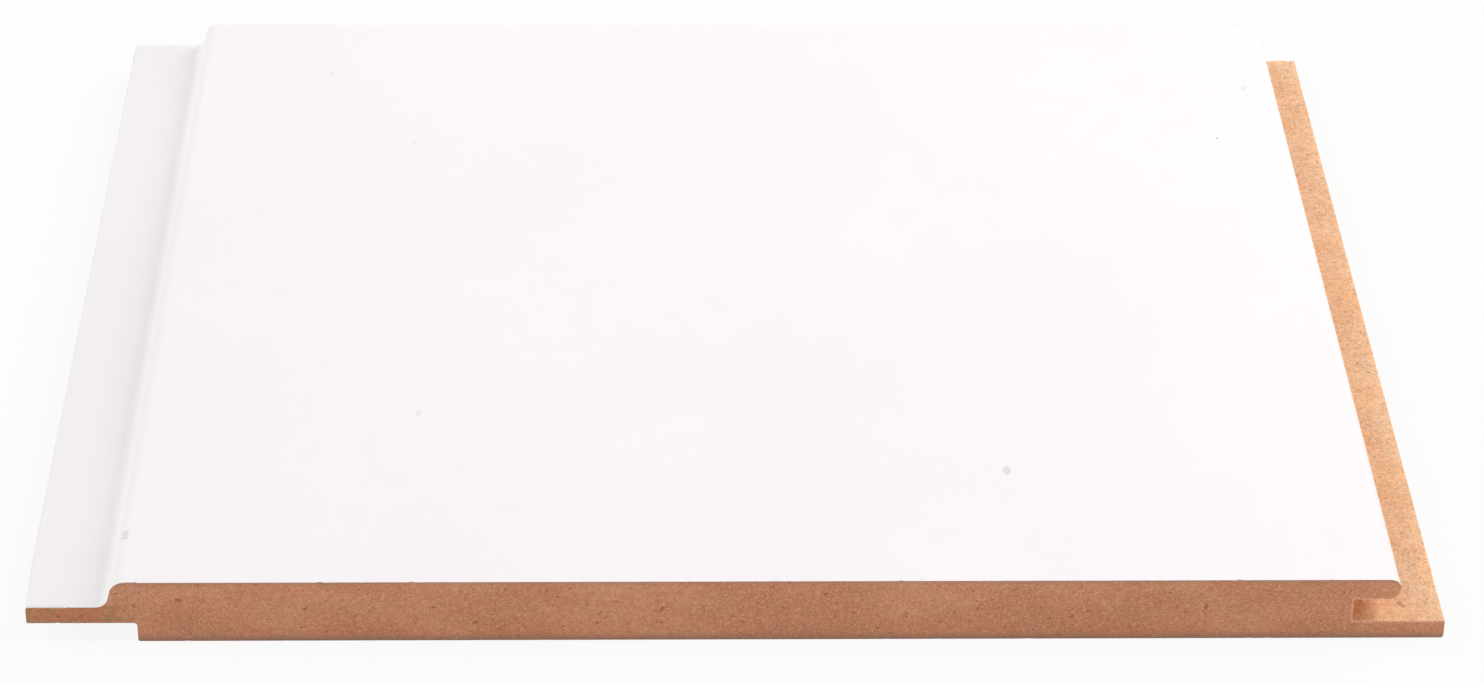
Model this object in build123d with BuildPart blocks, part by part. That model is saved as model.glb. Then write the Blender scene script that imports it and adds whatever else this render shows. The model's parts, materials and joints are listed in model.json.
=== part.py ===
"""A short length of smooth wall panel in medium-density fibreboard, with a tongue along one long edge
and a groove along the other, lacquered on the face.

The panel is one board, milled to section along both long edges and sawn square at both ends.
It lies on its back: X runs across the panel from the tongue to the groove, Y runs along it
and Z goes up to the lacquered face. The origin is under the middle of the board, in the plane of its back.

Every width across the section is built up from the tip of the tongue, the way the panels meet on a wall:
the next panel's tongue slides over the fixing lip into the groove, and stops short of closing the joint,
so that a shadow gap shows between the bull-nosed edge of one panel and the face shoulder of the next.
"""

import os
from math import radians, tan

from build123d import *

# Board, in millimetres
board_thickness = 12.0
cover_width = 225.0  # from one panel to the next on the wall
cut_length = 200.0  # of this sawn piece

# Tongue
tongue_thickness = 3.25
tongue_set_back = 3.75  # from the back of the board to the underside of the tongue
tongue_face_reach = 13.9  # from the tip to the foot of the face shoulder
tongue_back_reach = 19.0  # from the tip to the back shoulder
tip_arris = 0.3

# Face shoulder, from the tongue up to the face
shoulder_lean = 14.0  # degrees from upright, away from the tongue
cove_radius = 2.2
brow_radius = 2.6

# Back shoulder, from the tongue down to the back
back_root_radius = 0.6
back_arris = 0.4

# How the next panel's tongue sits in the groove
tongue_engagement = 7.0  # how far it goes in, measured from the bull-nosed edge
end_clearance = 0.9
under_clearance = 0.3  # between the fixing lip and the tongue
over_clearance = 1.0  # between the tongue and the nose
back_gap = 4.0  # from the edge of the fixing lip to the next panel's back shoulder

# Groove, nose and fixing lip
nose_flat = 0.2  # what the two rounds of the bull nose leave between them
groove_corner_radius = 0.3
lip_face_arris = 0.2
lip_back_arris = 0.5

# Places across the section, counted from the tip of the tongue
nose_x = cover_width + tongue_engagement
groove_end_x = nose_x - tongue_engagement - end_clearance
lip_edge_x = nose_x + tongue_back_reach - tongue_engagement - back_gap
brow_x = tongue_face_reach + (board_thickness - tongue_set_back - tongue_thickness) * tan(radians(shoulder_lean))

# Heights above the back of the board
tongue_face_z = tongue_set_back + tongue_thickness
lip_thickness = tongue_set_back - under_clearance
groove_ceiling_z = tongue_face_z + over_clearance
nose_radius = (board_thickness - groove_ceiling_z - nose_flat) / 2

# The sharp corners of the section, each with the radius that eases it, in order from the tip of the tongue
section_corners = [
    ((0, tongue_set_back), tip_arris),
    ((0, tongue_face_z), tip_arris),
    ((tongue_face_reach, tongue_face_z), cove_radius),
    ((brow_x, board_thickness), brow_radius),
    ((nose_x, board_thickness), nose_radius),
    ((nose_x, groove_ceiling_z), nose_radius),
    ((groove_end_x, groove_ceiling_z), groove_corner_radius),
    ((groove_end_x, lip_thickness), groove_corner_radius),
    ((lip_edge_x, lip_thickness), lip_face_arris),
    ((lip_edge_x, 0), lip_back_arris),
    ((tongue_back_reach, 0), back_arris),
    ((tongue_back_reach, tongue_set_back), back_root_radius),
]

# The section stands upright across the board, with its own origin under the tip of the tongue
section_plane = Plane(origin=(-lip_edge_x / 2, 0, 0), x_dir=(1, 0, 0), z_dir=(0, -1, 0))

with BuildPart() as panel:
    with BuildSketch(section_plane) as section:
        with BuildLine() as outline:
            Polyline([corner for corner, radius in section_corners], close=True)
        make_face()
        for corner, radius in section_corners:
            fillet(section.vertices().sort_by_distance(corner)[0], radius)
    # The same section runs the whole length, and both ends are plain saw cuts
    extrude(amount=cut_length / 2, both=True)
panel.part.label = "panel"

os.makedirs("parts", exist_ok=True)
export_step(panel.part, "parts/panel.step")

print(f"section {lip_edge_x:.2f} x {board_thickness:.2f} mm, length {cut_length:.1f} mm")
print(f"fixing lip {lip_thickness:.2f} mm thick, groove {groove_ceiling_z - lip_thickness:.2f} mm high")
print(f"nose {board_thickness - groove_ceiling_z:.2f} mm thick, rounded {nose_radius:.2f} mm")
print(f"volume {panel.part.volume / 1000:.1f} cm3")
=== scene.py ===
# %% [markdown]
# # A short length of lacquered fibreboard wall panel
#
# The real object is one board of medium-density fibreboard, MDF for short. It is milled along both long
# edges, sprayed white on the face and sawn to length afterwards. So it has four kinds of surface: white
# lacquer on the face, fresh saw cuts at the two ends, bare milled fibreboard in the groove and on the fixing
# lip, and the bare back. The CAD model holds the true section and the true size. This lesson dresses it: it
# loads that model as a frame, builds one fine mesh over it with the small relief that a saw and a cutter
# leave, and makes a material for each kind of surface.

# %% Load the frame
import json
from math import ceil, cos, hypot, pi, radians, sin
from random import Random

import bmesh
import bpy
import numpy as np
from mathutils import Matrix, Vector, noise
from mathutils.geometry import delaunay_2d_cdt


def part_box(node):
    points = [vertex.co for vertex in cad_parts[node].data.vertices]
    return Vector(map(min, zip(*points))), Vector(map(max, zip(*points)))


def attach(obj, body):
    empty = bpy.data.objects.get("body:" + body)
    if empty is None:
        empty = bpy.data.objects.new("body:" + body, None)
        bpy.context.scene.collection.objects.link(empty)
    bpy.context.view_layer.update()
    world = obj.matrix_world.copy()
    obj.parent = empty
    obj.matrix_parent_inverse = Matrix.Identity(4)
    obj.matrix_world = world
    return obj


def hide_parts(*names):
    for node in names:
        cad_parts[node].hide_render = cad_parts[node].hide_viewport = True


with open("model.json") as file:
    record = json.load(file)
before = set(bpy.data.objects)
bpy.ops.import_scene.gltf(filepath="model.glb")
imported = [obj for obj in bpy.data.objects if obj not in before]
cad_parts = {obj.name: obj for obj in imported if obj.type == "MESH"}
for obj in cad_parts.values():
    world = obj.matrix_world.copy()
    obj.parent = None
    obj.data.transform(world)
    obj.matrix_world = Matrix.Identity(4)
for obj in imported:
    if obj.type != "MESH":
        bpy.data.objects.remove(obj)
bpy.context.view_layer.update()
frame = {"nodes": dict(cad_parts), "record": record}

mm = 0.001  # the frame is in metres, and a joiner thinks in millimetres
board = frame["nodes"]["panel"]
low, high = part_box("panel")
print("board", [round((high[k] - low[k]) / mm, 2) for k in range(3)], "mm")

# %% [markdown]
# ## The camera
#
# The photograph looks down on the board at about thirty-two degrees, from far away with a long lens, so
# the long edges draw together only a little. The lens and the place were found by fitting the board's real
# edges to the straight edges in the photograph. A camera in Blender looks along its own -Z, so the turns
# are put together in this order: the roll first, then the tilt, then the turn to the side.

# %% Camera
lens_length = 107.11  # on a sensor 36 mm wide
camera_place = Vector((-17.41, -707.62, 437.45)) * mm
look_down = radians(31.884)
turn_right = radians(1.654)
camera_roll = radians(0.808)


def added(name, data):
    """A new object that holds this mesh, lamp or camera, added to the scene."""
    made = bpy.data.objects.new(name, data)
    bpy.context.scene.collection.objects.link(made)
    return made


camera = added("camera", bpy.data.cameras.new("camera"))
bpy.context.scene.camera = camera
camera.data.lens = lens_length
camera.data.clip_start = 0.01
tilt = Matrix.Rotation(pi / 2 - look_down, 4, "X")
camera.matrix_world = (
    Matrix.Translation(camera_place)
    @ Matrix.Rotation(-turn_right, 4, "Z")
    @ tilt
    @ Matrix.Rotation(camera_roll, 4, "Z")
)
print("camera", round((camera_place - (low + high) / 2).length, 3), "m from the middle of the board")

# %% [markdown]
# ## Floor and daylight white
#
# The board lies on a plain white ground. A white floor in a render is never quite white, because it can only
# send back the light that falls on it. Two ways out are more light, which would burn out the white lacquer,
# or a floor that glows a little for the camera alone. The second is used here: Light Path tells the floor
# and the world when the ray comes straight from the camera, and only then part of the white is added. The
# floor stays an ordinary floor for the board, and it keeps the board's soft shadow.

# %% Helpers for materials


def emptied(owner):
    """Empties the node tree of a material or world, and returns a helper that adds a node to it."""
    owner.use_nodes = True
    tree = owner.node_tree
    tree.nodes.clear()

    def node(kind, inputs=(), **settings):
        made = tree.nodes.new("ShaderNode" + kind)
        for key, value in settings.items():
            setattr(made, key, value)
        for key, value in dict(inputs).items():
            if isinstance(value, bpy.types.NodeSocket):
                tree.links.new(value, made.inputs[key])
            else:
                made.inputs[key].default_value = value
        return made

    return node


def new_material(name):
    """A material without nodes, and the helper that adds them."""
    material = bpy.data.materials.new(name)
    return material, emptied(material)


# %% Floor
floor_half_width = 5.0
floor_gap = 0.02 * mm  # the floor lies this far under the board, so that the two never share a plane
floor_bounce = (0.84, 0.83, 0.82, 1)  # what the floor sends back to the board
floor_seen = (0.983, 0.983, 0.983, 1)
shadow_kept = 0.08  # how much of the real shadow the camera sees

floor_material, node = new_material("white_ground")
light_path = node("LightPath")
ground = node("BsdfDiffuse", {"Color": floor_bounce})
glow = node("Emission", {"Color": floor_seen, "Strength": 1.0})
seen_share = node("Math", {0: light_path.outputs["Is Camera Ray"], 1: 1 - shadow_kept}, operation="MULTIPLY")
floor_mix = node("MixShader", {0: seen_share.outputs[0], 1: ground.outputs[0], 2: glow.outputs[0]})
node("OutputMaterial", {"Surface": floor_mix.outputs[0]})

square = ((-1, -1, 0), (1, -1, 0), (1, 1, 0), (-1, 1, 0))
floor_mesh = bpy.data.meshes.new("floor")
floor_mesh.from_pydata([floor_half_width * Vector(corner) for corner in square], [], [(0, 1, 2, 3)])
floor_mesh.materials.append(floor_material)
floor = added("floor", floor_mesh)
floor.location.z = low.z - floor_gap
print("floor", 2 * floor_half_width, "m wide")

# %% World
sky_level = 0.35

world = bpy.data.worlds.new("studio")
bpy.context.scene.world = world
node = emptied(world)
soft = node("Background", {"Color": (1, 1, 1, 1), "Strength": sky_level})
white = node("Background", {"Color": floor_seen, "Strength": 1.0})
light_path = node("LightPath").outputs
seen = node("Math", {0: light_path["Is Camera Ray"], 1: light_path["Is Glossy Ray"]}, operation="MAXIMUM")
seen = node("Math", {0: seen.outputs[0], 1: light_path["Is Transmission Ray"]}, operation="MAXIMUM")
sky = node("MixShader", {0: seen.outputs[0], 1: soft.outputs[0], 2: white.outputs[0]})
node("OutputWorld", {"Surface": sky.outputs[0]})
print("sky at", sky_level)

# %% [markdown]
# ## Lamps
#
# In the photograph the face is the brightest surface and it grows brighter to the right, the shoulder on
# the left is only a little greyer, and the sawn end towards the viewer lies in shade. So soft light comes
# from both sides and from behind, and nothing shines from the front. The groove shows a soft-edged shadow of
# the nose, so one of the lamps on the right is fairly small. Each lamp is given by where it hangs, how large
# it is and its level, which is the light that it alone throws on the face: at a level of one, a white card
# there renders as white as it is written. A flat that faces up catches less of a lamp that hangs low and far
# off, so the watts are worked out from the level. The levels and the sky add up to about one.

# %% Softboxes
softboxes = {
    "right": ((0.70, -0.12, 1.09), 0.35, 0.20),
    "right_low": ((1.3, -0.2, 0.75), 0.5, 0.03),
    "behind_right": ((0.95, 0.75, 0.85), 0.8, 0.20),
    "left": ((-1.6, 0.23, 1.3), 1.37, 0.295),
}
for name, (place, width, level) in softboxes.items():
    lamp = bpy.data.lights.new(name, "AREA")
    lamp.shape = "SQUARE"
    lamp.size = width
    distance = Vector(place).length
    slant = place[2] / distance
    lamp.energy = level * 4 * pi * distance**2 / slant
    box = added(name, lamp)
    box.location = place
    box.rotation_euler = (-Vector(place)).to_track_quat("-Z", "Y").to_euler()
    box.visible_camera = False
    print(name, round(lamp.energy, 1), "W")

bpy.context.scene.view_settings.view_transform = "Standard"

# %% [markdown]
# ## The section, read from the frame
#
# The section runs the same from end to end, so all that the long faces need is its outline. It could be
# typed in again as numbers, but then two files would have to agree. It is safer to read it from the frame:
# keep only the faces of the front end, dissolve them into one, and walk round that one face.

# %% Outline of the section
hair = 0.01 * mm  # whatever lies nearer than this counts as touching


def end_outline(node):
    """The corners of the front end as (x, z), in order round the section, seen from the front."""
    shape = bmesh.new()
    shape.from_mesh(node.data)
    bmesh.ops.remove_doubles(shape, verts=shape.verts, dist=0.001 * mm)
    elsewhere = [face for face in shape.faces if face.normal.y > -0.99]
    bmesh.ops.delete(shape, geom=elsewhere, context="FACES")
    end_face = bmesh.ops.dissolve_faces(shape, faces=shape.faces)["region"][0]
    corners = np.array([(v.co.x, v.co.z) for v in end_face.verts])
    shape.free()
    return corners


outline = end_outline(board)
heel = np.lexsort((outline[:, 0], (outline[:, 1] - low.z) > hair))[0]
outline = np.roll(outline, -heel, axis=0)  # now it starts at the left end of the flat back
print("outline of", len(outline), "corners, from", outline[0].round(4), "to", outline[1].round(4))

# %% [markdown]
# ## Where each surface begins
#
# Going round the section from the left end of the back, three landmarks divide it: the right end of the
# back, the furthest point of the bull nose, and the lower corner of the tongue's tip. The sprayer reached
# everything between the last two. What lay in its shade, the groove and the fixing lip, stayed bare. The
# record's mounts give the height of the lip and the end of the groove.

# %% Stretches of the outline
mounts = {mount["name"]: mount["pos_m"] for mount in frame["record"]["mounts"]}
lip_top = mounts["fixing_lip"][2]
groove_end = mounts["groove"][0]
half_way_up = lip_top + 3 * mm  # over the lip, and under the top of the tongue
back_end = int(np.argmax(np.where(outline[:, 1] < low.z + hair, outline[:, 0], -1)))
nose_tip = int(np.argmax(np.where(outline[:, 1] > half_way_up, outline[:, 0], -1)))
tongue_tip = int(np.flatnonzero(outline[:, 0] < low.x + hair)[-1])


def finish_of(corner):
    """Which kind of surface the stretch after this corner has."""
    if corner < back_end:
        return "back"
    return "lacquer" if nose_tip <= corner < tongue_tip else "milled"


print("back ends at corner", back_end, "nose at", nose_tip, "tongue tip at", tongue_tip)

# %% [markdown]
# ## Fine steps for small relief
#
# A saw leaves dents and burrs of a tenth of a millimetre, and a mesh can only show them where its points are
# about as close. Fine points everywhere would cost millions of triangles. So the outline is divided to about
# half a millimetre, the slices along the board stand close together near the two saw cuts and apart in the
# middle, and the two wide flats get their own filling later, fine at the rim and coarse inside.

# %% Divide the outline
outline_step = {"back": 0.8 * mm, "lacquer": 0.45 * mm, "milled": 0.5 * mm}
wide_flat = 100 * mm  # a stretch longer than this is filled and not sliced

corners, finishes, flats = [], [], []
for k, start in enumerate(outline):
    run = outline[(k + 1) % len(outline)] - start
    pieces = ceil(hypot(*run) / outline_step[finish_of(k)])
    for step in range(pieces):
        corners.append(start + run * step / pieces)
        finishes.append(finish_of(k))
        flats.append(hypot(*run) > wide_flat)
corners = np.array(corners)
count = len(corners)
walked = np.concatenate([[0], np.cumsum(np.hypot(*np.diff(corners, axis=0).T))])
inside_flat = [flats[k] and flats[k - 1] for k in range(count)]
print(count, "points round the section,", count - sum(inside_flat), "of them outside the wide flats")

# %% Slices along the board
closest_slice = 0.2 * mm
widest_slice = 1.4 * mm
slice_growth = 1.07

half = (high.y - low.y) / 2
steps = [closest_slice]
while sum(steps) < half:
    steps.append(min(steps[-1] * slice_growth, widest_slice))
from_end = np.concatenate([[0], np.cumsum(steps)]) * half / sum(steps)
slices = np.concatenate([low.y + from_end, (high.y - from_end)[-2::-1]])
print(len(slices), "slices,", round((slices[1] - slices[0]) / mm, 2), "to",
      round(np.diff(slices).max() / mm, 2), "mm apart")

# %% [markdown]
# ## Faces between the slices
#
# Every point of the outline is repeated at every slice, and four neighbours make a face. Points in the
# middle of a wide flat are needed only at the two ends, where the saw cut meets them. The corners of each
# face are listed so that its normal points out of the board.

# %% Loft the narrow stretches
points, faces, face_finish = [], [], []
grid = -np.ones((len(slices), count), int)
for row, y in enumerate(slices):
    at_end = row in (0, len(slices) - 1)
    for k, (x, z) in enumerate(corners):
        if at_end or not inside_flat[k]:
            grid[row, k] = len(points)
            points.append((x, y, z))

for k in range(count):
    after = (k + 1) % count
    if flats[k]:
        continue
    for row in range(len(slices) - 1):
        faces.append((grid[row, k], grid[row + 1, k], grid[row + 1, after], grid[row, after]))
        face_finish.append(finishes[k])
print(len(points), "points and", len(faces), "faces between the slices")

# %% [markdown]
# ## Filling a flat with triangles
#
# The saw cuts and the two wide flats are flat areas with a rim that is already there. Blender has a tool
# for this, a Delaunay triangulation that keeps a given rim: it takes the rim and loose points inside it, and
# returns triangles as even as they can be. Loose points that are scattered, and not in rows, keep the relief
# from lining up.

# %% Fill inside a rim
rim_clearance = 0.22 * mm
weld = 0.001 * mm


def fill(rim, inner, across, up, finish, turned):
    """Covers the flat inside a rim of points with triangles, using loose points inside it as well."""
    chosen = list(rim) + list(range(len(points), len(points) + len(inner)))
    points.extend(inner)
    flat = [Vector((points[k][across], points[k][up])) for k in chosen]
    found = delaunay_2d_cdt(flat, [], [list(range(len(rim)))], 1, weld)
    triangles, sources = found[2], found[3]  # the third and fourth of the six lists that it returns
    for triangle in triangles:
        named = [chosen[sources[k][0]] for k in triangle]
        faces.append(named[::-1] if turned else named)
        face_finish.append(finish)
    print(finish, "filled with", len(triangles), "triangles")


def scattered(rng, spacing, width, height):
    """Points about spacing apart over a rectangle that starts at 0, each moved a little at random."""
    across = np.arange(0.5, width / spacing) * spacing
    up = np.arange(0.5, height / spacing) * spacing
    moved = [(x + rng.uniform(-0.3, 0.3) * spacing, z + rng.uniform(-0.3, 0.3) * spacing)
             for x in across for z in up]
    return np.array(moved)


def well_inside(spots, rim, clearance):
    """Which of these spots lie inside the rim and no nearer to it than clearance."""
    inside = np.zeros(len(spots), bool)
    nearest = np.full(len(spots), np.inf)
    for a, b in zip(rim, np.roll(rim, -1, axis=0)):
        crossing = (a[1] > spots[:, 1]) != (b[1] > spots[:, 1])
        if a[1] != b[1]:
            meets = a[0] + (spots[:, 1] - a[1]) * (b[0] - a[0]) / (b[1] - a[1])
            inside ^= crossing & (spots[:, 0] < meets)
        run = b - a
        along = np.clip(((spots - a) @ run) / (run @ run), 0, 1)
        nearest = np.minimum(nearest, np.hypot(*(spots - a - along[:, None] * run).T))
    return inside & (nearest > clearance)


# %% The two saw cuts
cut_spacing = 0.46 * mm
for end, row in (("front", 0), ("back", len(slices) - 1)):
    spots = scattered(Random(end), cut_spacing, high.x - low.x, high.z - low.z) + (low.x, low.z)
    spots = spots[well_inside(spots, corners, rim_clearance)]
    fill(grid[row], [(x, slices[row], z) for x, z in spots], 0, 2, "sawn", end == "back")

# %% [markdown]
# ## The wide flats
#
# The face and the back are flat for two hundred millimetres, and almost nothing happens in their middle. A
# cell that is larger than its distance to the rim is cut in two, again and again, and one point is put in
# each cell that is left. That gives close points at the rim and wide ones in the middle.

# %% Fill the face and the back
middle_spacing = 7 * mm


def graded(x0, x1, y0, y1, finest, coarsest, rng):
    """One point for each cell of a rectangle, with small cells along its rim and large ones inside."""
    cells, found = [(x0, x1, y0, y1)], []
    while cells:
        a, b, c, d = cells.pop()
        size = max(b - a, d - c)
        x, y = (a + b) / 2, (c + d) / 2
        gap = min(x - x0, x1 - x, y - y0, y1 - y)
        if size > coarsest or (size > finest and size > 0.7 * gap):
            if b - a > d - c:
                cells += [(a, x, c, d), (x, b, c, d)]
            else:
                cells += [(a, b, c, y), (a, b, y, d)]
        else:
            found.append((x + rng.uniform(-0.2, 0.2) * (b - a), y + rng.uniform(-0.2, 0.2) * (d - c)))
    return found


def flat_stretch(finish):
    """The first and the last corner of the wide flat that has this finish."""
    members = [k for k in range(count) if flats[k] and finishes[k] == finish]
    return members[0], members[-1] + 1


for finish in ("lacquer", "back"):
    first, last = flat_stretch(finish)
    near = [grid[0, k % count] for k in range(first, last + 1)]
    far = [grid[-1, k % count] for k in range(first, last + 1)]
    rim = near + list(grid[1:-1, last % count]) + far[::-1] + list(grid[-2:0:-1, first])
    x0, x1 = sorted((corners[first][0], corners[last % count][0]))
    loose = graded(x0, x1, low.y, high.y, outline_step[finish], middle_spacing, Random(finish))
    z = corners[first][1]
    fill(rim, [(x, y, z) for x, y in loose], 0, 1, finish, finish == "back")

# %% [markdown]
# ## The mesh, before its relief
#
# The lists become one closed mesh. Blender can then say which way each point faces, and that is the way in
# which the relief will push it. A look through BMesh counts the edges that lack two faces and the points
# that are loose, of which a closed skin has none, and prints the volume.

# %% Build the skin
surfaces = ["lacquer", "sawn", "milled", "back"]
skin = bpy.data.meshes.new("board_skin")
skin.from_pydata(points, [], [[int(k) for k in face] for face in faces])
skin.polygons.foreach_set("material_index", [surfaces.index(finish) for finish in face_finish])
skin.update()

closed = bmesh.new()
closed.from_mesh(skin)
open_edges = sum(len(edge.link_faces) != 2 for edge in closed.edges)
loose_points = sum(not vertex.link_faces for vertex in closed.verts)
print("open edges", open_edges, "loose points", loose_points,
      "volume", round(closed.calc_volume() * 1e6, 1), "cm3")
closed.free()

# %% [markdown]
# ## Which points lie on which surface
#
# Each point belongs to the surfaces of the faces round it. A point with two of them lies on an arris, the
# sharp edge where a saw cut meets a long face. Arrises matter most for the look: a real one is never quite
# sharp, and a saw breaks small bits out of it.

# %% Sort the points
touches = {finish: np.zeros(len(points), bool) for finish in surfaces}
for face, finish in zip(faces, face_finish):
    touches[finish][list(face)] = True
on_arris = touches["sawn"] & (touches["lacquer"] | touches["milled"] | touches["back"])
print({finish: int(mask.sum()) for finish, mask in touches.items()}, "points")
print(int(on_arris.sum()), "points on the sawn arrises")

# %% [markdown]
# ## How deep the relief goes
#
# Relief only ever goes inwards from the CAD surface, so the board keeps its size. A saw cut through
# fibreboard is a felt of torn fibres with small pits, drawn out along the layers of the board, and the blade
# leaves faint arcs in it. The milled faces are smoother and carry faint ripples, one for each pass of a
# cutter's tooth, and the lip has one gouge from handling near its front end. The lacquer is level.
# Noise from mathutils gives the same value at the same place each time, so the board is the same every run.

# %% Depth of the saw cuts
sawn_recess = 0.04 * mm  # room for the fibres that stand out of the cut
felt_relief = 0.014 * mm
wave_relief = 0.010 * mm
arc_relief = 0.006 * mm
torn_pit_depth = 0.25 * mm
saw_radius = 105 * mm
saw_tooth_pitch = 1.3 * mm
saw_centre = (low.x + 0.3 * (high.x - low.x), -0.9 * saw_radius)  # across the board, and under it


def rough(place, sizes, layers=3):
    """Noise of about -1 to 1, with bumps of about these sizes along X, Y and Z."""
    return noise.fractal(Vector([p / s for p, s in zip(place, sizes)]), 0.9, 2.1, layers)


def sawn_depth(place):
    """Depth of a saw cut: felted fibres, faint arcs from the blade and a few torn pits."""
    felt = felt_relief * rough(place, (0.9 * mm, 1 * mm, 0.35 * mm), 4)
    waves = wave_relief * rough(place, (6 * mm, 1 * mm, 2.5 * mm))
    from_centre = hypot(place[0] - saw_centre[0], place[2] - saw_centre[1])
    arcs = arc_relief * cos(2 * pi * from_centre / saw_tooth_pitch)
    pit = max(0.0, rough(place, (1.6 * mm, 1 * mm, 0.8 * mm)) - 0.55)
    return sawn_recess + felt + waves + arcs + torn_pit_depth * pit


# %% Depth of the milled faces
cutter_pitch = 1.6 * mm
ripple_relief = 0.004 * mm
nap_relief = 0.010 * mm
cutter_pit_depth = 0.3 * mm
gouge_ends = ((112.9 * mm, -94.5 * mm, lip_top), (113.5 * mm, -95.5 * mm, lip_top))
gouge_half_width = 0.6 * mm
gouge_depth = 0.25 * mm


def gouged(place):
    """How far a place lies in the gouge on the lip, from 0 outside it to 1 along its middle."""
    start, stop = (Vector(end) for end in gouge_ends)
    run = stop - start
    along = min(1.0, max(0.0, (Vector(place) - start).dot(run) / run.length_squared))
    apart = (Vector(place) - start - along * run).length / gouge_half_width
    return max(0.0, 1 - apart**2)


def milled_depth(place):
    """Depth of a milled face: cutter ripples, a short nap and a few pits."""
    ripple = ripple_relief * (1 + cos(2 * pi * place[1] / cutter_pitch))
    nap = nap_relief * abs(rough(place, (0.8 * mm, 0.8 * mm, 0.8 * mm)))
    pit = max(0.0, rough(place, (1.9 * mm, 2.3 * mm, 1.5 * mm)) - 0.6)
    return ripple + nap + cutter_pit_depth * pit + gouge_depth * gouged(place)


# %% Depth of the lacquer and of the back
lacquer_recess = 0.02 * mm  # room for the specks of dust in the lacquer
lacquer_relief = 0.004 * mm
sanded_relief = 0.008 * mm


def lacquer_depth(place):
    """Depth of the lacquer, which flows level over the sanded board."""
    return lacquer_recess + lacquer_relief * rough(place, (14 * mm, 14 * mm, 14 * mm))


def back_depth(place):
    """Depth of the bare sanded back, which touches the ground at its highest spots."""
    return sanded_relief * max(0.0, rough(place, (9 * mm, 9 * mm, 9 * mm)))


depth_of = {"sawn": sawn_depth, "milled": milled_depth, "lacquer": lacquer_depth, "back": back_depth}
for finish, depth in depth_of.items():
    samples = [depth(points[k]) / mm for k in np.flatnonzero(touches[finish])[::50]]
    print(finish, "relief", round(min(samples), 3), "to", round(max(samples), 3), "mm")

# %% [markdown]
# ## Nicks along the sawn arrises
#
# Where the blade leaves the lacquer it breaks tiny crumbs out of the edge, and in the photograph they make
# the line between white and brown slightly ragged. Each nick is a place along the outline, a half width and
# a depth, and small ones are far more common than large ones. Two longer wounds of the front cut can be told
# in the photograph: the top of the tongue is crushed over its first seven millimetres, and the face is worn
# low for three millimetres beside the shoulder.

# %% Nicks
nick_spacing = 3.2 * mm
nick_depths = (0.02 * mm, 0.13 * mm)
arris_wear = 0.035 * mm
crushed_width = 7.4 * mm
crushed_depth = 0.26 * mm
worn_from, worn_to = -103.5 * mm, -100.6 * mm  # across the board
worn_depth = 0.15 * mm
ground_side, ground_share = 0.5 * mm, 0.4  # next to the ground the arris is broken less


def nicks(rng):
    """Places along the outline with a half width and a depth, for one saw cut."""
    where, made = 0.0, []
    while where < walked[-1]:
        where += rng.expovariate(1 / nick_spacing)
        depth = nick_depths[0] + (nick_depths[1] - nick_depths[0]) * rng.random() ** 4
        made.append((where, rng.uniform(1.2, 4.5) * depth + 0.12 * mm, depth))
    return np.array(made)


def nick_profile(made):
    """How deep the arris is broken at each corner of the outline."""
    apart = (walked[:, None] - made[None, :, 0]) / made[None, :, 1]
    return np.max(made[:, 2] * np.clip(1 - apart**2, 0, 1), axis=1)


broken = {end: nick_profile(nicks(Random(end))) for end in ("front_arris", "back_arris")}
upper_tongue = (corners[:, 0] < low.x + crushed_width) & (corners[:, 1] > half_way_up)
broken["front_arris"][upper_tongue] += crushed_depth
for profile in broken.values():
    profile[corners[:, 1] < low.z + ground_side] *= ground_share
worn = (corners[:, 0] > worn_from) & (corners[:, 0] < worn_to) & (corners[:, 1] > high.z - 0.4 * mm)
broken["front_arris"][worn] += worn_depth
print("deepest nicks", {end: round(float(depth.max()) / mm, 2) for end, depth in broken.items()}, "mm")

# %% [markdown]
# ## Pressing the relief in
#
# A Displace modifier could push the points, but it knows one texture and here every surface has its own
# rule. So each point gets a depth from the rule of its surface, and from the nicks where it lies on an arris
# or within half a millimetre of one. All points are then moved against their normals at once. In the
# photograph the tip of the tongue is also knocked back a little at its near end, and that is a push sideways.

# %% Depth of every point
depths = np.zeros(len(points))
for finish in ("back", "lacquer", "milled", "sawn"):
    for k in np.flatnonzero(touches[finish] & ~on_arris):
        depths[k] = depth_of[finish](points[k])
nick_reach = 0.5 * mm
for row, y in enumerate(slices):
    from_front, from_back = y - low.y, high.y - y
    end = "front_arris" if from_front < from_back else "back_arris"
    fade = 1 - min(from_front, from_back) / nick_reach
    if fade <= 0:
        continue
    for k in range(count):
        if grid[row, k] >= 0:
            depths[grid[row, k]] += fade * broken[end][k] + (arris_wear if fade == 1 else 0)
print("relief up to", round(depths.max() / mm, 2), "mm deep")

# %% Press the relief into the skin
tip_worn = 0.45 * mm  # how far the tip of the tongue is knocked back at the front end
tip_worn_along, tip_worn_across = 16 * mm, 2 * mm


def knocked_back(places):
    """Presses the first millimetres of the tongue's tip together, most at the front end of the board."""
    along = np.clip(1 - (places[:, 1] - low.y) / tip_worn_along, 0, 1)
    across = np.clip(1 - (places[:, 0] - low.x) / tip_worn_across, 0, 1) ** 2
    moved = places.copy()
    moved[:, 0] += tip_worn * along * across
    return moved


normals = np.zeros(len(points) * 3)
skin.vertex_normals.foreach_get("vector", normals)
pressed = np.array(points) - normals.reshape(-1, 3) * depths[:, None]
pressed = knocked_back(np.clip(pressed, low, high))
skin.vertices.foreach_set("co", pressed.ravel())
skin.update()
print("the tip of the tongue now ends", round((pressed[:, 0].min() - low.x) / mm, 3), "mm inside the CAD box")

# %% [markdown]
# ## Bare board in the nicks
#
# Where a crumb of lacquer is gone, the brown board shows. The faces beside a deep nick change from lacquer to
# saw cut. The mesh also stores how near each point of a cut lies to the section's edge, because the blade
# burnishes that edge and darkens it. A mesh attribute carries such a number to the material.

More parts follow.
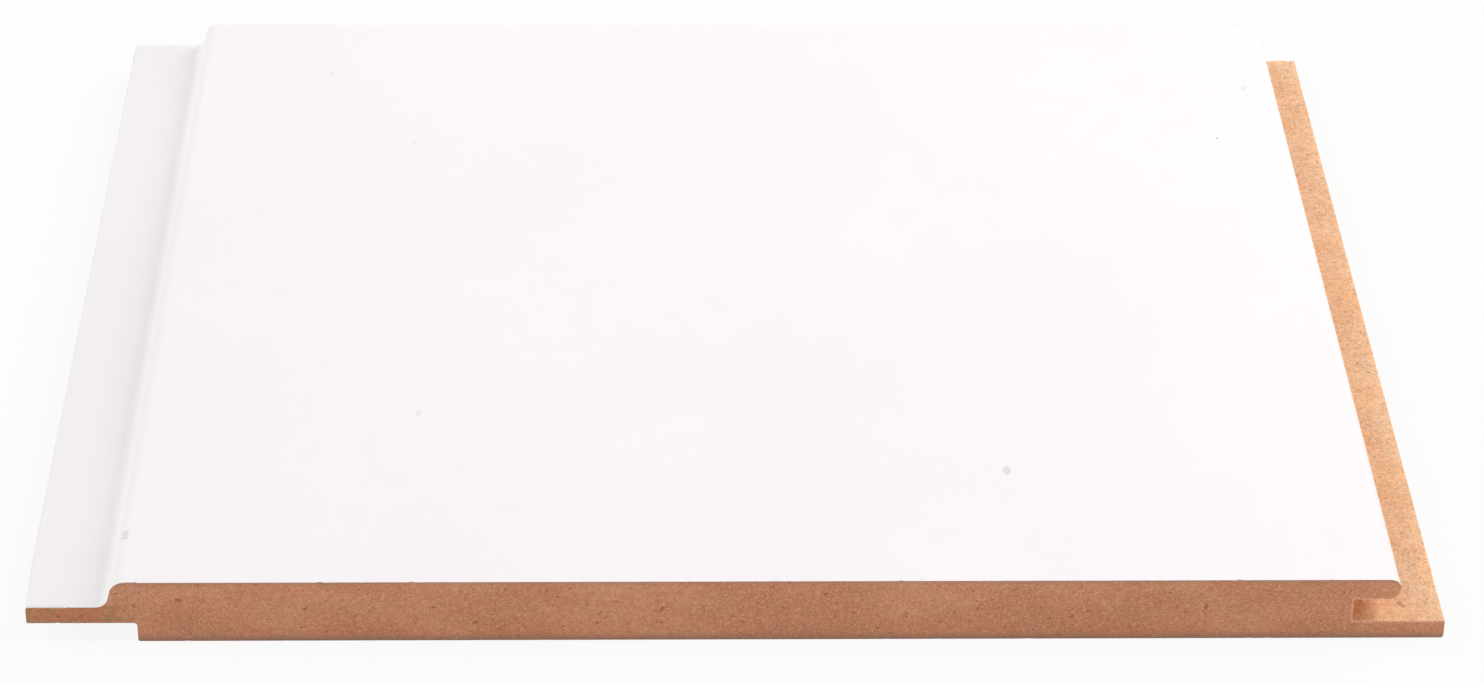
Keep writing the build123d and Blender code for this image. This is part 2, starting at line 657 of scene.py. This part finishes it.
# %% Show the board in the nicks
bare_from = 0.09 * mm  # a nick deeper than this goes through the lacquer
beside_cut = 0.25 * mm
nick_depth = np.zeros(len(points))
for row, end in ((0, "front_arris"), (len(slices) - 1, "back_arris")):
    nick_depth[grid[row]] = broken[end]
bared = 0
for face, polygon in zip(faces, skin.polygons):
    near_end = min(abs(polygon.center.y - low.y), abs(polygon.center.y - high.y)) < beside_cut
    lacquered = polygon.material_index == surfaces.index("lacquer")
    if near_end and lacquered and max(nick_depth[k] for k in face) > bare_from:
        polygon.material_index = surfaces.index("sawn")
        bared += 1
edge_share = skin.attributes.new("near_edge", "FLOAT", "POINT")
edge_share.data.foreach_set("value", on_arris.astype(float))
gouge_share = skin.attributes.new("in_gouge", "FLOAT", "POINT")
gouge_share.data.foreach_set("value", [gouged(place) for place in points])
print(bared, "faces of lacquer broken away")

# %% [markdown]
# ## A flat plan of the skin
#
# Other programs can't read these materials, so on export their patterns are painted into a picture, and a
# UV map says which part of that picture each face wears. A map that is made automatically gives every
# surface room by its area: the plain face would fill the picture, and the sawn ends, which have nearly all
# the detail, would get a few rows of it. So the board is unrolled like paper from a box. The way
# round the section is one coordinate and the way along the board is the other, each sawn end is cut in two
# so that it fits, and every part gets the scale that its pattern needs.

# %% The way round the section
place = np.array(points)
walk = np.zeros(len(points))
for finish in ("lacquer", "back"):
    first = flat_stretch(finish)[0]
    walk[touches[finish]] = walked[first] + np.abs(place[touches[finish], 0] - corners[first][0])
for row in grid:
    walk[row[row >= 0]] = walked[row >= 0]

corner_point = np.zeros(len(skin.loops), int)
skin.loops.foreach_get("vertex_index", corner_point)
corner_face = np.repeat(np.arange(len(faces)), [len(face) for face in faces])
middles = np.zeros(len(faces) * 3)
skin.polygons.foreach_get("center", middles)
middles = middles.reshape(-1, 3)[corner_face]
kind = np.array(face_finish)[corner_face]
x, y, z = place[corner_point].T
walk = walk[corner_point]
once_round = walked[-1] + hypot(*(corners[0] - corners[-1]))
walk[(kind == "milled") & (walk == 0)] = once_round  # the last faces end where the first began
print("once round the section", round(once_round / mm, 1), "mm")

# %% Unroll the skin
plan_name = "OFBake"  # the name under which the export looks for such a map
plan_size = 1024  # picture points each way
plan_gap = 4
sawn_scale, milled_scale, plain_scale = 0.12 * mm, 0.25 * mm, 0.59 * mm  # the size of one picture point
plan = np.zeros((len(corner_point), 2))


def laid_out(chosen, across, up, scale, left, bottom):
    """Puts some faces on the plan from this lower left corner, and returns where the next ones may start."""
    spots = np.stack([across[chosen], up[chosen]], 1)
    spots = (spots - spots.min(0)) / scale + (left, bottom)
    plan[chosen] = spots / plan_size
    return spots.max(0) + plan_gap


bottom = plan_gap
for end in (-1, 1):
    for side in (-1, 1):
        half_cut = (kind == "sawn") & (middles[:, 1] * end > 0) & (middles[:, 0] * side > 0)
        bottom = laid_out(half_cut, x, z, sawn_scale, plan_gap, bottom)[1]
for side in (-1, 1):
    strip = (kind == "milled") & (middles[:, 0] * side > 0)
    bottom = laid_out(strip, y, walk, milled_scale, plan_gap, bottom)[1]
left = plan_gap
for finish in ("lacquer", "back"):
    left, filled_to = laid_out(kind == finish, walk, y, plain_scale, left, bottom)
skin.uv_layers.new(name=plan_name).data.foreach_set("uv", plan.ravel())
print("the plan reaches", round(plan.max() * plan_size), "of", plan_size, "with its top at", round(filled_to))

# %% [markdown]
# ## Colour in the fibreboard
#
# Fibreboard is wood ground to fibres, mixed with resin and pressed flat. Seen close it is never one brown:
# there are warm and olive patches a few millimetres wide, pale straw-coloured fibres, dark fibres of bark,
# and a denser and darker band under each pressed face. One flat colour would look like clay. The way taken
# here is to start from two browns and lay the fibres on as separate layers of stretched noise.
#
# A Mapping node of the kind TEXTURE divides the place by its Scale, so the scale can be written as the real
# size of a fibre in metres.

# %% Helpers for patterns


def stretched(node, sizes, turn=(0, 0, 0)):
    """Places on the board, measured in pattern units of these sizes, after a turn."""
    place = node("TexCoord").outputs["Object"]
    scale = [size * mm for size in sizes]
    mapping = node("Mapping", {"Vector": place, "Rotation": turn, "Scale": scale}, vector_type="TEXTURE")
    return mapping.outputs[0]


def noise_over(node, sizes, detail=3.0, roughness=0.55, turn=(0, 0, 0)):
    """Noise from 0 to 1, mostly near 0.5, with bumps of these sizes in millimetres."""
    inputs = {"Vector": stretched(node, sizes, turn), "Scale": 1.0, "Detail": detail, "Roughness": roughness}
    return node("TexNoise", inputs).outputs[0]


def step_up(node, value, start, stop, most=1.0, least=0.0):
    """A soft step: least below start, most above stop."""
    inputs = {"Value": value, "From Min": start, "From Max": stop, "To Min": least, "To Max": most}
    return node("MapRange", inputs, interpolation_type="SMOOTHSTEP").outputs[0]


def laid_over(node, under, over, share):
    """One colour laid over another, by a share."""
    mix = node("Mix", {0: share, 6: under, 7: over}, data_type="RGBA")
    return mix.outputs[2]


def tinted(node, colour, tint):
    """A colour multiplied by another."""
    return node("Mix", {0: 1.0, 6: colour, 7: tint}, data_type="RGBA", blend_type="MULTIPLY").outputs[2]


def toned(node, colour, share, swing):
    """A brown made darker where share is 0 and paler where it is 1; the darks are redder than the pales."""
    dark = (1 - swing, 1 - 1.4 * swing, 1 - 1.7 * swing, 1)
    pale = (1 + swing, 1 + 1.4 * swing, 1 + 1.7 * swing, 1)
    return tinted(node, colour, laid_over(node, dark, pale, share))


def bumped(node, height, depth, strength, over=None):
    """A bump of this height pattern, depth millimetres high, on top of another bump if one is given."""
    inputs = {"Height": height, "Strength": strength, "Distance": depth * mm}
    if over is not None:
        inputs["Normal"] = over
    return node("Bump", inputs).outputs[0]


def surfaced(node, colour, roughness, mirror, **more):
    """Ends a material: its colour, how matt it is, how much it mirrors, and other inputs of the shader."""
    inputs = {"Base Color": colour, "Roughness": roughness, "Specular IOR Level": mirror}
    inputs.update({name.replace("_", " ").title(): value for name, value in more.items()})
    node("OutputMaterial", {"Surface": node("BsdfPrincipled", inputs).outputs[0]})


# %% [markdown]
# ## The saw cut
#
# A saw cut meets most fibres end on, so they show as a fine grain of dark and pale dots, with a few larger
# flecks of bark. The cut is the reddest and darkest of the bare surfaces, because its torn fibres trap the
# light. Each layer of fibres is one row of a table: its colour, the size of its fibres in millimetres, how
# much detail and roughness the noise has, how it is turned, and between which two values of the noise the
# fibres begin to show, up to which share.

# %% Material of the saw cut
warm_brown = (0.720, 0.294, 0.157, 1)
olive_brown = (0.682, 0.314, 0.174, 1)
straw = (0.96, 0.49, 0.30, 1)
bark = (0.41, 0.118, 0.042, 1)
burnished = (0.45, 0.262, 0.188, 1)
# painted shade on the tongue's sawn end, in two tints that change in patches
tongue_shade_tint = (0.84, 0.745, 0.66, 1)
tongue_shade_olive = (0.72, 0.79, 0.73, 1)
sawn_layers = (
    (bark, (0.34, 0.3, 0.28), 3, 0.6, (0, 0, 0), 0.53, 0.66, 0.36),  # dark grains
    (straw, (0.36, 0.3, 0.24), 2, 0.5, (0, 0.5, 0.4), 0.52, 0.64, 0.62),  # pale grains
    (bark, (1.0, 0.8, 0.34), 2, 0.5, (0, 0.15, 0), 0.62, 0.68, 0.55),  # dark dashes
    (straw, (0.8, 0.8, 0.30), 2, 0.5, (0, -0.6, 0.8), 0.63, 0.70, 0.6),  # pale dashes
    (bark, (1.5, 1.2, 0.9), 2, 0.5, (0, -0.3, 0.9), 0.68, 0.73, 0.8),  # flecks of bark
)

sawn_material, node = new_material("sawn_fibreboard")
patches = step_up(node, noise_over(node, (9, 10, 4.5), 3), 0.38, 0.62)
colour = laid_over(node, warm_brown, olive_brown, patches)
clouds = noise_over(node, (16, 12, 7), 2, 0.5, turn=(0, 0.2, 0))
colour = toned(node, colour, step_up(node, clouds, 0.32, 0.68), 0.07)
mottle = noise_over(node, (1.3, 1.3, 1.0), 4, 0.6)
colour = toned(node, colour, step_up(node, mottle, 0.25, 0.75), 0.075)
for fibre_colour, sizes, detail, roughness, turn, start, stop, most in sawn_layers:
    cover = step_up(node, noise_over(node, sizes, detail, roughness, turn), start, stop, most)
    colour = laid_over(node, colour, fibre_colour, cover)

# The tongue's end in painted shade, the two pressed faces and the burnished arrises
place = node("SeparateXYZ", {0: node("TexCoord").outputs["Object"]}).outputs
on_tongue = step_up(node, place[0], low.x + 20 * mm, low.x + 14 * mm)
below_shoulder = step_up(node, place[2], lip_top + 4.4 * mm, lip_top + 3.4 * mm)
on_tongue = node("Math", {0: on_tongue, 1: below_shoulder}, operation="MULTIPLY").outputs[0]
# The tongue's sawn end is darkened as painted shade, with patches of its own.
tongue_patches = step_up(node, noise_over(node, (2.2, 2.2, 1.1), 3), 0.42, 0.58)
shaded_tongue_colour = tinted(node, colour, laid_over(node, tongue_shade_tint, tongue_shade_olive, tongue_patches))
colour = laid_over(node, colour, shaded_tongue_colour, on_tongue)
lower_band = step_up(node, place[2], 1.6 * mm, 0.0, 0.85)
upper_band = step_up(node, place[2], high.z - 1.1 * mm, high.z, 0.5)
colour = laid_over(node, colour, burnished, lower_band)
colour = laid_over(node, colour, burnished, upper_band)
near_edge = node("Attribute", attribute_name="near_edge").outputs["Fac"]
colour = laid_over(node, colour, burnished, step_up(node, near_edge, 0.45, 1.0, 0.7))

felt = noise_over(node, (0.30, 0.30, 0.16), 4, 0.65)
bumps = bumped(node, felt, 0.05, 0.3)
surfaced(node, colour, 0.92, 0.25, normal=bumps, sheen_weight=0.15, sheen_roughness=0.6)
print(sawn_material.name, len(sawn_material.node_tree.nodes), "nodes")

# %% [markdown]
# ## The milled faces
#
# The cutter shears the fibres instead of tearing them, so the groove and the lip are smoother and paler, and
# the fibres are seen from the side: short threads that lie every way in the plane of the board. Three layers
# of the same long thin noise, each turned to another angle, give that felt. Deep in the groove the faces are
# painted darker and redder, as painted shade in the recess, and the gouge is painted dark brown, for its
# torn fibres and as painted shade in the dent.

# %% Material of the milled faces
milled_brown = (0.815, 0.452, 0.236, 1)
milled_olive = (0.785, 0.498, 0.297, 1)
# painted shade deep in the groove
painted_groove_shade_tint = (0.97, 0.88, 0.81, 1)
no_tint = (1, 1, 1, 1)
pale_thread = (0.97, 0.62, 0.38, 1)
dark_thread = (0.47, 0.185, 0.072, 1)
# torn fibres and painted shade in the dent of the gouge
gouge_brown_and_shade = (0.50, 0.23, 0.105, 1)


def threads(node, length, width, start, stop, most, first_turn):
    """How much of a spot is covered by threads that lie at three angles."""
    cover = None
    for third in range(3):
        turn = (0, 0, first_turn + third * pi / 3)
        layer = step_up(node, noise_over(node, (length, width, width), 2, 0.5, turn), start, stop, most)
        if cover is None:
            cover = layer
        else:
            cover = node("Math", {0: cover, 1: layer}, operation="MAXIMUM").outputs[0]
    return cover


milled_material, node = new_material("milled_fibreboard")
patches = step_up(node, noise_over(node, (6, 9, 6), 3), 0.35, 0.65)
colour = laid_over(node, milled_brown, milled_olive, patches)
clouds = noise_over(node, (9, 14, 9), 2, 0.5, turn=(0, 0, 0.3))
colour = toned(node, colour, step_up(node, clouds, 0.32, 0.68), 0.05)
mottle = noise_over(node, (1.4, 1.6, 1.4), 4, 0.6)
colour = toned(node, colour, step_up(node, mottle, 0.25, 0.75), 0.09)
colour = laid_over(node, colour, dark_thread, threads(node, 1.3, 0.27, 0.61, 0.69, 0.75, 0.3))
colour = laid_over(node, colour, pale_thread, threads(node, 1.1, 0.25, 0.58, 0.67, 0.9, 0.9))
across = node("SeparateXYZ", {0: node("TexCoord").outputs["Object"]}).outputs[0]
# Painted shade in the recess of the groove, near its end wall.
in_groove = step_up(node, across, groove_end + 3.4 * mm, groove_end + 1.2 * mm)
deep = laid_over(node, no_tint, painted_groove_shade_tint, in_groove)
on_groove_side = step_up(node, across, 0.0, 1 * mm)  # the milled faces at the tongue keep their colour
colour = tinted(node, colour, laid_over(node, no_tint, deep, on_groove_side))
in_gouge = node("Attribute", attribute_name="in_gouge").outputs["Fac"]
# The gouge is painted dark: its torn fibres, and painted shade in the dent.
colour = laid_over(node, colour, gouge_brown_and_shade, step_up(node, in_gouge, 0.1, 0.8, 0.8))
nap = noise_over(node, (0.35, 0.35, 0.35), 3, 0.6)
bumps = bumped(node, nap, 0.03, 0.3)
surfaced(node, colour, 0.85, 0.3, normal=bumps, sheen_weight=0.1, sheen_roughness=0.6)
print(milled_material.name, len(milled_material.node_tree.nodes), "nodes")

# %% [markdown]
# ## The bare back
#
# The photograph never shows the back. Such panels are left bare there: pressed and sanded, a little duller
# than the milled faces, with fibres that show from the side and fine sanding lines along the board.

# %% Material of the back
sanded_brown = (0.64, 0.355, 0.205, 1)
sanded_dark = (0.56, 0.295, 0.165, 1)

back_material, node = new_material("sanded_back")
clouds = step_up(node, noise_over(node, (22, 30, 22), 4), 0.3, 0.7)
colour = laid_over(node, sanded_brown, sanded_dark, clouds)
lines = noise_over(node, (0.5, 40, 1), 3, 0.6)
colour = toned(node, colour, step_up(node, lines, 0.3, 0.7), 0.05)
colour = laid_over(node, colour, dark_thread, threads(node, 1.6, 0.32, 0.60, 0.70, 0.6, 0.1))
colour = laid_over(node, colour, pale_thread, threads(node, 1.4, 0.30, 0.60, 0.70, 0.6, 0.7))
surfaced(node, colour, 0.7, 0.35, normal=bumped(node, lines, 0.02, 0.6))
print(back_material.name, len(back_material.node_tree.nodes), "nodes")

# %% [markdown]
# ## The lacquer
#
# The face is sprayed with white satin lacquer. A sprayed film dries with a very shallow, rounded unevenness
# that painters call orange peel. It is far too shallow to model, a few thousandths of a millimetre, so it is
# left to a bump. The white itself is a little warm and very slightly cloudy. In the hollow of the shoulder
# the white is painted lighter, as painted light that lifts the shade there. On the tongue, which the next
# panel hides, the lacquer is a little greyer. The open pores of the bull nose drink the lacquer, so the nose
# dries matt, and where it turns under, its white is painted darker and browner, as painted shade.

# %% Material of the lacquer
lacquer_white = (0.811, 0.778, 0.791, 1)
lacquer_cloud = (0.792, 0.764, 0.778, 1)
# the lacquer on the tongue is a little greyer
tongue_grey_tint = (0.945, 0.945, 0.945, 1)
# painted light: lifts the shade in the hollow of the shoulder
painted_cove_light_tint = (1.095, 1.10, 1.095, 1)
# painted shade for the outer round of the bull nose
painted_nose_shade_tint = (0.965, 0.945, 0.915, 1)
nose_edge = outline[nose_tip][0]
nose_round = 1.9 * mm

lacquer_material, node = new_material("white_lacquer")
clouds = noise_over(node, (45, 60, 45), 3, 0.5)
colour = laid_over(node, lacquer_white, lacquer_cloud, step_up(node, clouds, 0.35, 0.7))
mottle = noise_over(node, (6, 9, 6), 3, 0.55)
colour = laid_over(node, colour, lacquer_cloud, step_up(node, mottle, 0.5, 0.66, 0.6))
across = node("SeparateXYZ", {0: node("TexCoord").outputs["Object"]}).outputs[0]
# Painted light: the cove and the shoulder are made whiter.
cove_light_share = step_up(node, across, low.x + 16.2 * mm, low.x + 14.4 * mm)
# The tongue's lacquer is made a little greyer.
on_tongue = step_up(node, across, low.x + 13.0 * mm, low.x + 11.1 * mm)
cove_lit_colour = laid_over(node, colour, tinted(node, colour, painted_cove_light_tint), cove_light_share)
colour = laid_over(node, cove_lit_colour, tinted(node, colour, tongue_grey_tint), on_tongue)
# Painted shade: the outer round of the nose is darkened and browned against the light it catches.
nose_shade_share = step_up(node, across, nose_edge - 0.6 * nose_round, nose_edge - 0.1 * nose_round)
colour = laid_over(node, colour, tinted(node, colour, painted_nose_shade_tint), nose_shade_share)
peel = noise_over(node, (1.5, 1.5, 1.5), 2, 0.4)
fine_peel = noise_over(node, (0.45, 0.45, 0.45), 2, 0.5)
bumps = bumped(node, fine_peel, 0.004, 0.5, over=bumped(node, peel, 0.012, 0.6))
satin = step_up(node, noise_over(node, (9, 12, 9), 4), 0.3, 0.7, 0.44, 0.36)
matt = step_up(node, across, nose_edge - nose_round, nose_edge - 0.85 * nose_round, 0.8)
roughness = node("Math", {0: satin, 1: matt}, operation="MAXIMUM").outputs[0]
surfaced(node, colour, roughness, 0.5, normal=bumps)
print(lacquer_material.name, len(lacquer_material.node_tree.nodes), "nodes")

# %% [markdown]
# ## Dressing the board
#
# The skin takes the four materials in the order in which its faces name them. Smooth shading would also round
# the arrises, so every edge that turns by more than forty degrees is marked sharp.

# %% Dress the skin
sharp_from = radians(40)
for material in (lacquer_material, sawn_material, milled_material, back_material):
    skin.materials.append(material)
skin.polygons.foreach_set("use_smooth", [True] * len(skin.polygons))
skin.set_sharp_from_angle(angle=sharp_from)

dressed = added("board_skin", skin)
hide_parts("panel")
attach(dressed, "root")
triangle_count = sum(len(face.vertices) - 2 for face in skin.polygons)
print(dressed.name, len(skin.polygons), "faces,", triangle_count, "triangles")

# %% [markdown]
# ## Loose fibres
#
# Look at a saw cut from the side and it is hairy: torn fibres stand out of it, and along the edges of the
# groove they form a pale fringe, which joiners call the burr. A particle system could grow them, but its
# hairs would be lost on export. Here each fibre is a tiny needle of its own, five points and six triangles,
# and all the fibres are joined into one mesh. They are seeded, so they are the same at each run.

# %% One fibre
needle_faces = ((0, 3, 4), (0, 4, 2), (1, 4, 3), (1, 2, 4), (0, 2, 3), (1, 3, 2))  # the last two are sunk
fibre_points, fibre_faces, fibre_tones = [], [], []


def fibre(middle, along, out, length, width, height, tone):
    """Adds a needle: two sunk tips, two sides in the surface and a back that stands out of it."""
    middle, along, out = (np.array(v, float) for v in (middle, along, out))
    along = along / np.linalg.norm(along)
    side = np.cross(along, out)
    needle = [
        middle - along * length / 2 - out * height,
        middle + along * length / 2 - out * height,
        middle - side * width / 2,
        middle + side * width / 2,
        middle + out * height,
    ]
    fibre_faces.extend([len(fibre_points) + k for k in face] for face in needle_faces)
    fibre_points.extend(needle)
    fibre_tones.extend([tone] * len(needle))


def fibres_so_far():
    """How many fibres there are up to now."""
    return len(fibre_faces) // len(needle_faces)


# %% Fibres on the saw cuts
cut_fibres = 2600  # on each end
for end, row, facing in (("front", 0, -1), ("back", len(slices) - 1, 1)):
    rng = Random("fibres " + end)
    spots = [(rng.uniform(low.x, high.x), rng.uniform(low.z, high.z)) for k in range(int(cut_fibres * 1.5))]
    spots = np.array(spots)
    kept = spots[well_inside(spots, corners, 0.3 * mm)][:cut_fibres]
    for x, z in kept:
        depth = sawn_depth((x, slices[row], z))
        height = min(depth - 0.004 * mm, rng.uniform(0.015, 0.05) * mm)
        place = (x, slices[row] - facing * depth, z)
        slope = rng.gauss(0, 0.5)
        length = rng.uniform(0.25, 0.9) * mm if rng.random() < 0.85 else rng.uniform(0.9, 1.5) * mm
        if high.z - z < length / 2 or z - low.z < length / 2:
            slope = 0
        tone = rng.choice((0.0, 0.08, 0.8, 0.9, 1.0))
        width = rng.choice((0.08, 0.11, 0.14, 0.19)) * mm
        fibre(place, (cos(slope), 0, sin(slope)), (0, facing, 0), length, width, height, tone)
print("fibres on the saw cuts:", fibres_so_far())

# %% Fibres on the lip and in the groove
lip_fibres = 2600
rng = Random("lip")
lip_left, lip_right = groove_end + 0.5 * mm, high.x - 0.5 * mm
for k in range(lip_fibres):
    x, y = rng.uniform(lip_left, lip_right), rng.uniform(low.y + 0.6 * mm, high.y - 0.6 * mm)
    turn = rng.uniform(0, pi)
    place = (x, y, lip_top - milled_depth((x, y, lip_top)))
    length, width = rng.uniform(0.35, 1.1) * mm, rng.uniform(0.06, 0.12) * mm
    height = rng.uniform(0.01, 0.05) * mm
    tone = rng.choice((0.0, 0.25, 0.7, 0.95, 1.0))
    fibre(place, (cos(turn), sin(turn), 0), (0, 0, 1), length, width, height, tone)
print("with the lip:", fibres_so_far())

# %% [markdown]
# ## The burr
#
# The saw pushes a fringe of fibres over the arrises of the bare parts. In the photograph it draws a thin pale
# line round the mouth of the groove and along the top of the lip. The fringe follows the outline itself, so
# its path is taken from the outline's corners between the nose and the lip's edge.

# %% Fringe along the bare arrises
burr_spacing = 0.07 * mm
burr_width = 0.26 * mm  # how far the fringe lies over the cut
burr_tone = 2.0  # 0 is the darkest fibre and 1 the palest, and the burr is paler still
fringe = [k for k in range(count) if finishes[k] == "milled" and corners[k, 0] > groove_end - 0.1 * mm
          and corners[k, 1] > lip_top - 0.1 * mm]
for end, row, facing in (("front", 0, -1), ("back", len(slices) - 1, 1)):
    rng = Random("burr " + end)
    for k in fringe:
        run = corners[(k + 1) % count] - corners[k]
        free = np.array((run[1], -run[0])) / hypot(*run)  # away from the board, across the arris
        for step in range(ceil(hypot(*run) / burr_spacing)):
            x, z = corners[k] + run * rng.random() + free * rng.uniform(-burr_width, 0.03 * mm)
            depth = rng.uniform(0.015, 0.05) * mm
            place = (x, slices[row] - facing * depth, z)
            across, out = rng.gauss(0, 0.25) * mm, rng.gauss(0, 0.05) * mm
            along = (run[0] + across, out, run[1] + rng.gauss(0, 0.25) * mm)
            length, width = rng.uniform(0.25, 0.7) * mm, rng.uniform(0.10, 0.22) * mm
            height = min(rng.uniform(0.02, 0.05) * mm, depth)
            fibre(place, along, (0, facing, 0), length, width, height, burr_tone)
print("with the burr:", fibres_so_far())

# %% [markdown]
# ## Colour of the fibres
#
# A fibre has the colour of the surface that it was torn from, so one material serves them all: it looks how
# far along the board a fibre lies to tell the saw cuts from the lip, and the tone that each fibre carries
# says whether it is bark, pale wood or burr.

# %% Material of the fibres
burr_straw = (1.0, 0.54, 0.33, 1)

fibre_material, node = new_material("loose_fibre")
tone = node("Attribute", attribute_name="tone").outputs["Fac"]
along = node("SeparateXYZ", {0: node("TexCoord").outputs["Object"]}).outputs[1]
from_middle = node("Math", {0: along}, operation="ABSOLUTE").outputs[0]
on_cut = step_up(node, from_middle, high.y - 0.5 * mm, high.y - 0.4 * mm)
dark_fibre = laid_over(node, dark_thread, bark, on_cut)
pale_fibre = laid_over(node, pale_thread, straw, on_cut)
colour = laid_over(node, dark_fibre, pale_fibre, tone)
colour = laid_over(node, colour, burr_straw, step_up(node, tone, 1.0, burr_tone))
grain = noise_over(node, (0.25, 0.25, 0.25), 2, 0.5)
colour = toned(node, colour, step_up(node, grain, 0.3, 0.7), 0.06)
surfaced(node, colour, 0.9, 0.25, sheen_weight=0.2)

# %% Join the fibres


def joined(name, made_points, made_faces, tones, material):
    """One object from lists of points and faces, with a tone for each point and one material."""
    mesh = bpy.data.meshes.new(name)
    inside = knocked_back(np.clip(np.array(made_points), low, high))
    mesh.from_pydata(inside.tolist(), [], made_faces)
    mesh.attributes.new("tone", "FLOAT", "POINT").data.foreach_set("value", tones)
    mesh.materials.append(material)
    mesh.update()
    made = added(name, mesh)
    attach(made, "root")
    print(name, len(mesh.polygons), "faces")
    return made


fibres = joined("loose_fibres", fibre_points, fibre_faces, fibre_tones, fibre_material)

# %% [markdown]
# ## A plan for the fibres
#
# The fibres need a UV map as well, and an automatic one would lose them, because there are nearly nine
# thousand. Here the picture is divided into squares, one for each fibre. The four faces that stand out of
# the board lie as a lozenge in the left half of the square, and the two sunk faces in the right half.

# %% Lay out the fibres
squares = ceil(fibres_so_far() ** 0.5)  # along each side of the picture
lozenge = ((0, 0.5), (1, 0.5), (0.5, 0), (0.5, 1), (0.5, 0.5))  # where the five points of a fibre lie
lozenge_width, lozenge_height = 0.38, 0.8
left_margin, bottom_margin = 0.06, 0.1
fibre_plan = []
for number, face in enumerate(fibre_faces):
    which, part = divmod(number, len(needle_faces))
    left = which % squares + left_margin + (0.5 if part >= 4 else 0)
    bottom = which // squares + bottom_margin
    for point in face:
        across, up = lozenge[point - len(lozenge) * which]
        fibre_plan += [(left + lozenge_width * across) / squares, (bottom + lozenge_height * up) / squares]
fibres.data.uv_layers.new(name=plan_name).data.foreach_set("uv", fibre_plan)
print(fibres_so_far(), "fibres on", squares, "x", squares, "squares")

# %% [markdown]
# ## Dust in the lacquer
#
# A few specks of dust settled on the wet lacquer and were coated over. Each is a very low, soft-edged
# grey spot. They are modelled as shallow domes, two hundredths of a millimetre high, which is the room that
# the lacquer's recess leaves under the CAD surface. Their places were read from the photograph. A dome is
# rings of points round its top, each ring lower and wider, and its grey fades out with its height.

# %% Specks
# across and along the board from its middle and width, in millimetres, then how dark from 0 to 1
specks = (
    (47.7, -66.4, 1.8, 0.48), (-103.9, -85.4, 1.4, 0.45), (97.8, 52.1, 0.6, 0.85), (-55.7, -47.8, 1.3, 0.22),
    (-78.2, 78.9, 1.3, 0.18), (105.4, 72.7, 0.8, 0.45), (-60.5, 50.5, 1.0, 0.20), (-69.8, 72.6, 1.2, 0.08),
    (-95.8, -55.7, 1.2, 0.08),
)
speck_stretch = 1.8  # the board was sprayed along its length, and the specks are longer that way
speck_sides = 18
speck_foot = 0.006 * mm  # how far its rim is sunk in the lacquer
speck_rings = ((0.45, 0.93), (0.75, 0.66), (0.92, 0.25), (1.0, 0.0))  # shares of its width and its height
speck_points, speck_faces, speck_tones = [], [], []
for x, y, width, dark in specks:
    rng = Random(str(x))
    bulge = [1 + rng.uniform(-0.16, 0.16) for side in range(speck_sides)]
    centre = len(speck_points)
    base = high.z - lacquer_recess - speck_foot
    speck_points.append((x * mm, y * mm, high.z))
    speck_tones.append(dark)
    for reach, rise in speck_rings:
        for side in range(speck_sides):
            turn = 2 * pi * side / speck_sides
            r = width / 2 * mm * reach * bulge[side]
            speck_points.append((x * mm + r * cos(turn), y * mm + speck_stretch * r * sin(turn),
                                 base + rise * (high.z - base)))
            speck_tones.append(dark * rise)
    for side in range(speck_sides):
        after = (side + 1) % speck_sides
        speck_faces.append((centre, centre + 1 + side, centre + 1 + after))
        for ring in range(len(speck_rings) - 1):
            inner, outer = centre + 1 + ring * speck_sides, centre + 1 + (ring + 1) * speck_sides
            speck_faces.append((inner + side, outer + side, outer + after, inner + after))
print(len(specks), "specks of", len(speck_rings), "rings")

# %% Material of the specks
speck_grey = (0.40, 0.385, 0.395, 1)

speck_material, node = new_material("coated_dust")
tone = node("Attribute", attribute_name="tone").outputs["Fac"]
cloudy = noise_over(node, (0.5, 0.5, 0.5), 2, 0.5)
share = node("Math", {0: tone, 1: step_up(node, cloudy, 0.3, 0.7, 1.1, 0.8)}, operation="MULTIPLY").outputs[0]
colour = laid_over(node, lacquer_white, speck_grey, share)
surfaced(node, colour, 0.42, 0.5)

dust = joined("dust_specks", speck_points, speck_faces, speck_tones, speck_material)
dust.data.polygons.foreach_set("use_smooth", [True] * len(dust.data.polygons))
